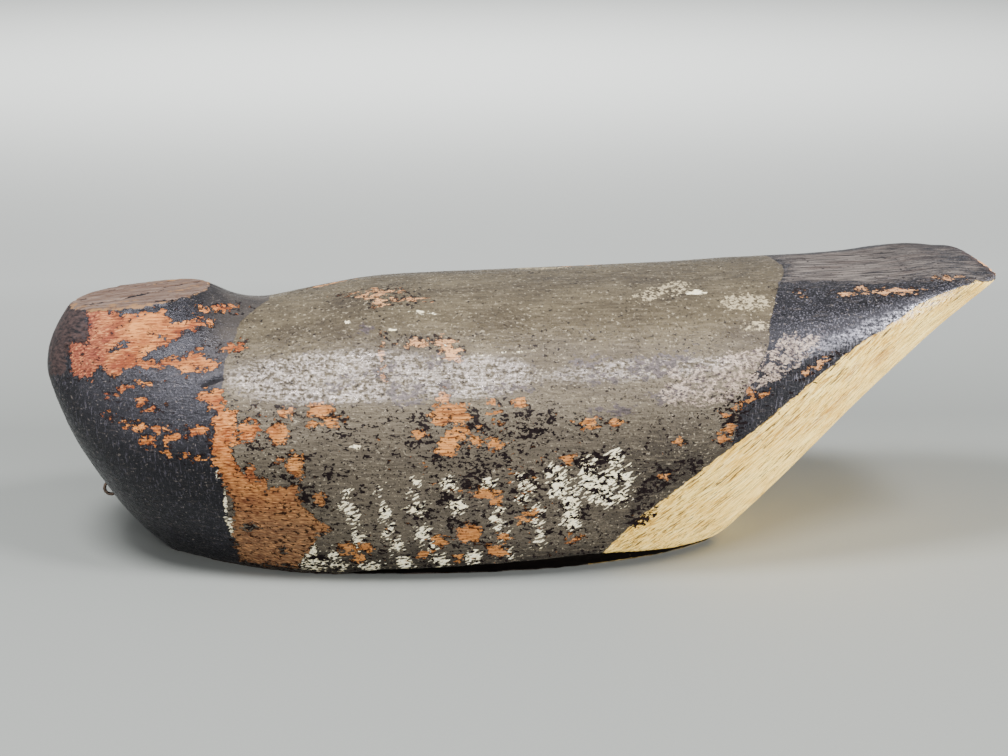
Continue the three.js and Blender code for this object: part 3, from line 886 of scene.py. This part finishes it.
def areas_of_paint(tree, place, noises, field, upward, grey_wood):
    """The olive, the black of breast and rump, and the weathered tail top; with the black's mask."""
    along = add(tree, "SeparateXYZ", {0: place})
    dark_area = either(tree, field["breast"], field["rump"])
    dark_mask = within(tree, summed(tree, (noises["tear"], 0.6), dark_area))
    # the upturned black just behind the breast's edge: paler there, partly dust and partly painted sheen
    hollow = both(tree, share(tree, upward, 0.6, 0.97), share(tree, along, -148.0, -134.0))
    dust_and_painted_sheen = both(tree, hollow, share(tree, along, 90.0, 60.0, 0.42))
    rear = share(tree, along, 98.0, 112.0)
    olive = olive_paint(tree, noises, field["low_shade"], upward)
    surface = laid(tree, dark_mask, olive, black_paint(tree, place, noises, dust_and_painted_sheen, rear))
    behind = summed(tree, (field["rump"], 0.7), (noises["tear"], 0.8))
    top = add(tree, "Math", {0: field["tail_top"], 1: behind}, operation="MINIMUM")
    top = summed(tree, (noises["streaks"], 8.0), (noises["fleck"], 3.0), top)
    return laid(tree, share(tree, top, -2.0, 6.0, 0.85), surface, grey_wood), dark_mask


def marks_on_paint(tree, place, noises, field, surface):
    """The thin old violet grey coat, scuffs, the worn band, the cream undertail and white dashes and spots;
    with the thin coat's mask."""
    tear, fleck, speck = noises["tear"], noises["fleck"], noises["speck"]
    thin_field = summed(tree, (tear, 3.4), (fleck, 2.8), field["thin"], -0.3)
    thin_mask = within(tree, thin_field, 0.25)
    thin_colour = shaded(tree, speck, "#0d0a0b", "#4f4446", 0.6)
    thin_coat = (thin_colour, 0.4, summed(tree, (fleck, 0.1), (speck, 0.04)))
    surface = laid(tree, thin_mask, surface, thin_coat)
    scuff_field = summed(tree, (fleck, 2.6), (speck, 1.6), field["scuffs"], -0.2)
    surface = laid(tree, within(tree, scuff_field, 0.6), surface, (linear("#b0a284"), 0.6, 0.0))
    band_field = summed(tree, (tear, 3.6), (speck, 2.2), field["worn_band"], -0.5)
    band_colour = shaded(tree, fleck, "#3a3133", "#bfaa97", 0.5)
    band_colour = toned(tree, band_colour, [(speck, -0.1, -0.5, 0.9, "#221b1e")])
    band_coat = (band_colour, 0.27, summed(tree, (fleck, 0.16), (speck, 0.08)))
    surface = laid(tree, within(tree, band_field, 0.4), surface, band_coat)

    cream = cream_paint(tree, place, noises, field["undertail"], field["stains"])
    cream_mask = within(tree, summed(tree, (tear, 0.8), field["undertail"]))
    surface = laid(tree, cream_mask, surface, cream)
    white = (shaded(tree, speck, "#f4e4b4", "#fff8e0", 0.6), 0.55, 0.1)
    stroke = grain_of(tree, place, (3.6, 1, 1), 1.0, 2, 0.5, (0, STROKE_SLOPE, 0))
    dash_field = summed(tree, (stroke, 3.4), (tear, 1.2), field["dashes"], 0.45)
    surface = laid(tree, within(tree, dash_field, 0.25), surface, white)
    pale_field = summed(tree, (tear, 0.9), (fleck, 0.6), field["pale_spots"])
    return laid(tree, within(tree, pale_field), surface, white), thin_mask


def flaked(tree, place, noises, field, surface):
    """Where the paint is off: the dark undercoat round every chip and in spots of its own, the bare wood,
    and dark crust; with the masks of bare wood and undercoat."""
    tear, fleck, speck = noises["tear"], noises["fleck"], noises["speck"]
    kept = share(tree, either(tree, field["undertail"], field["breast"]), 0.0, 5.0, -2.0)
    thinned = summed(tree, field["wear"], kept, -0.9)
    bare = either(tree, field["bare"], thinned)
    bare = summed(tree, (tear, 2.8), (fleck, 2.2), (speck, 0.5), bare)
    rim = summed(tree, bare, (fleck, 2.2), (tear, -1.6), 0.6)
    between = summed(tree, field["dashes"], -0.9)
    thinned = summed(tree, field["wear"], kept, 0.45)
    spots = either(tree, field["undercoat"], between, thinned)
    spots = summed(tree, (fleck, 2.8), (tear, -1.8), (speck, 1.2), spots)
    under_mask = within(tree, either(tree, rim, spots))
    under_coat = (shaded(tree, speck, "#070505", "#231c1d"), 0.45, summed(tree, (fleck, 0.05), -0.12))
    surface = laid(tree, under_mask, surface, under_coat)

    bare_mask = within(tree, bare)
    colour, rough, relief = cedar(tree, place, noises)
    sunk = summed(tree, relief, -PAINT_DEPTH)
    surface = laid(tree, bare_mask, surface, (colour, rough, sunk))
    crust_field = summed(tree, (fleck, 3.0), (tear, 2.0), field["crust"])
    crust_colour = shaded(tree, noises["streaks"], "#070606", "#453531", 0.6)
    crust = (crust_colour, 0.55, summed(tree, (fleck, 0.12)))
    return laid(tree, within(tree, crust_field, 0.5), surface, crust), bare_mask, under_mask


def old_wood_and_dirt(tree, noises, field, surface, grey_wood):
    """The weathered neck seat with its paler lip and dark checks, the underside that it has stood on, and
    painted shade: near black in the undercut along the underside's edges; with the painted shade's mask."""
    tear, fleck = noises["tear"], noises["fleck"]
    grey_colour, grey_rough, grey_relief = grey_wood
    seat_field = summed(tree, (field["seat_drop"], -1.0), (fleck, 0.6), 0.7)
    brown = mixed(tree, 0.5, grey_colour, linear("#6a4c38"))
    surface = laid(tree, within(tree, seat_field), surface, (brown, grey_rough, grey_relief))
    to_lip = summed(tree, field["seat_drop"], -0.7)
    to_lip = add(tree, "Math", {0: to_lip}, operation="ABSOLUTE")
    lip = summed(tree, (to_lip, -1.0), (tear, 1.2), noises["blotch"], -0.1)
    surface = laid(tree, within(tree, lip, 0.3), surface, (linear("#80603f"), 0.75, 0.0))
    crack = within(tree, summed(tree, field["checks"], (fleck, 0.5), 0.5))
    surface = laid(tree, crack, surface, (linear("#080605"), 0.8, surface[2]))
    blotched = share(tree, noises["blotch"], -0.4, 0.4, 0.75)
    stood_on = mixed(tree, blotched, grey_colour, linear("#3b291e"))
    surface = laid(tree, field["underside"], surface, (stood_on, 0.8, grey_relief))
    # painted shade: the undercut is made near black where the overhang shades it
    painted_shade_mask = share(tree, summed(tree, field["dirt"], (fleck, 0.25)), 0.3, 0.8)
    painted_shade = (shaded(tree, tear, "#030202", "#0e0b09"), 0.85, 0.0)
    return laid(tree, painted_shade_mask, surface, painted_shade), painted_shade_mask


def worn_paint(names):
    """The whole skin: thin coats of old oil paint over an old dark undercoat over cedar, flaked and rubbed
    through. Each coat's torn edge is a small step, and handling has left a broken shine on the shoulders."""
    material, tree, shader, place = new_material("worn oil paint over cedar")
    field = {name: add(tree, "Attribute", out="Fac", attribute_name=name) for name in names}
    noises = {
        "tear": grain_of(tree, place, (1.8, 1.5, 1), 2.8, 5, 0.66),
        "fleck": grain_of(tree, place, (1.5, 2.2, 1), 1.5, 4, 0.62),
        "speck": grain_of(tree, place, (1.5, 2.4, 1), 0.9, 2, 0.6),
        "blotch": grain_of(tree, place, (2, 1.5, 1), 16, 4, 0.6),
        "streaks": grain_of(tree, place, (9, 2.8, 1), 1.0, 4, 0.66),
    }
    fleck, speck = noises["fleck"], noises["speck"]
    upward = add(tree, "SeparateXYZ", {0: add(tree, "TexCoord", out="Normal")}, 2)
    grey_wood = weathered_cedar(tree, place, noises)
    surface, dark_mask = areas_of_paint(tree, place, noises, field, upward, grey_wood)
    surface, thin_mask = marks_on_paint(tree, place, noises, field, surface)
    surface, bare_mask, under_mask = flaked(tree, place, noises, field, surface)
    surface, painted_shade_mask = old_wood_and_dirt(tree, noises, field, surface, grey_wood)

    ridges = summed(tree, (fleck, 0.6), (speck, 0.5), (noises["streaks"], 0.4))
    polish = both(tree, field["rubbed"], share(tree, ridges, -0.27, 0.5, 2.6))
    polish = mixed_value(tree, thin_mask, polish, 0.3)
    matt = either(tree, bare_mask, under_mask, painted_shade_mask)
    waxy = share(tree, upward, 0.0, 0.6, 0.2)
    shine = summed(tree, (polish, 1.7), waxy, (matt, -0.2), 0.22)
    tint = mixed(tree, dark_mask, linear("#fff3ee"), linear("#f1efff"))
    colour, rough, relief = surface
    relief = summed(tree, (both(tree, field["rubbed"], speck), 0.1), relief)
    bump = add(tree, "Bump", {"Strength": 1.0, "Distance": MM, "Height": relief})
    fill(tree, shader, {
        "Base Color": colour, "Roughness": rough, "Normal": bump, "Specular IOR Level": shine,
        "Specular Tint": tint,
    })
    return material


def old_iron():
    """Drawn iron wire, gone dark: dull brown black with small rust and a hard glint along its crown."""
    material, tree, shader, place = new_material("old iron wire")
    rust = grain_of(tree, place, (1, 1, 1), 0.9, 4, 0.6)
    body = shaded(tree, rust, "#3a302b", "#7d6a5c")
    rusty = share(tree, rust, 0.2, 0.7)
    metal = add(tree, "MapRange", {0: rusty, 3: 0.9, 4: 0.15})
    rough = add(tree, "MapRange", {0: rusty, 3: 0.3, 4: 0.8})
    bump = add(tree, "Bump", {"Strength": 0.6, "Distance": 0.05 * MM, "Height": rust})
    fill(tree, shader, {"Base Color": body, "Metallic": metal, "Roughness": rough, "Normal": bump})
    return material


def table_cloth():
    """The plain pale floor: a matt grey sheet with the faintest grain, with painted light paler far behind.
    """
    material, tree, shader, place = new_material("pale matt sheet")
    faint = grain_of(tree, place, (1, 1, 1), 1.2, 2)
    back = add(tree, "SeparateXYZ", {0: place}, 1)
    colour = shaded(tree, faint, "#858885", "#898c89", 1.5)
    # painted light: paler far behind, as a sweep catching more light would be
    colour = toned(tree, colour, [(back, 180.0, 580.0, 1.0, "#c3c6c3")])
    fill(tree, shader, {"Base Color": colour, "Roughness": 0.7})
    return material


def floor():
    bpy.ops.mesh.primitive_plane_add(size=30)
    made = bpy.context.object
    made.name = "floor"
    made.data.materials.append(table_cloth())


def soft_light(name, place, looks_at, size, watts):
    """A square soft box, out of the camera's sight."""
    data = bpy.data.lights.new(name, "AREA")
    data.size = size
    data.energy = watts
    made = bpy.data.objects.new(name, data)
    bpy.context.scene.collection.objects.link(made)
    made.visible_camera = False
    made.location = place
    made.rotation_euler = (Vector(looks_at) - made.location).to_track_quat("-Z", "Y").to_euler()


LIGHTS = [  # name, place and the place it faces in metres, side in metres, watts
    ("above left", (-0.4, -0.27, 1.0), (-0.06, -0.05, 0.1), 0.32, 18),
    ("above right", (0.42, -0.42, 1.0), (0.06, -0.05, 0.1), 0.26, 11),
    ("low right", (1.35, -0.3, 0.1), (0.1, 0.0, 0.06), 0.3, 62),
    ("low left", (-1.2, -0.55, 0.16), (-0.1, 0.0, 0.05), 0.4, 6),
    ("front", (0.15, -1.35, 0.5), (0.05, 0.0, 0.05), 0.4, 10),
    ("over the floor behind", (0.0, 1.9, 1.9), (0.0, 4.2, 0.2), 1.6, 185),
]
ROOM_STRENGTH = 0.42


def studio():
    """Plain soft light: a pale room, two soft boxes above, one low at each end, a weak one in front, and one
    that faces away from the decoy, over the floor far behind."""
    world = bpy.data.worlds.new("pale room")
    bpy.context.scene.world = world
    world.use_nodes = True
    background = world.node_tree.nodes["Background"]
    background.inputs["Color"].default_value = linear("#f4f6f8")
    background.inputs["Strength"].default_value = ROOM_STRENGTH
    for light in LIGHTS:
        soft_light(*light)


def camera():
    data = bpy.data.cameras.new("camera")
    data.lens = CAMERA_LENS
    data.sensor_width = CAMERA_SENSOR
    made = bpy.data.objects.new("camera", data)
    bpy.context.scene.collection.objects.link(made)
    made.location = Vector(CAMERA_PLACE) * MM
    looks = (Vector(CAMERA_LOOKS_AT) - Vector(CAMERA_PLACE)).normalized()
    made.rotation_euler = looks.to_track_quat("-Z", "Y").to_euler()
    bpy.context.scene.camera = made


camera()
studio()
floor()

body, fields = carved_body()
body.data.materials.append(worn_paint(fields))
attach(body, "root")
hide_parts("decoy_body")

staple = wire_staple()
staple.data.materials.append(old_iron())
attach(staple, "root")
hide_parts("line_tie_staple")

bpy.ops.object.select_all(action="DESELECT")
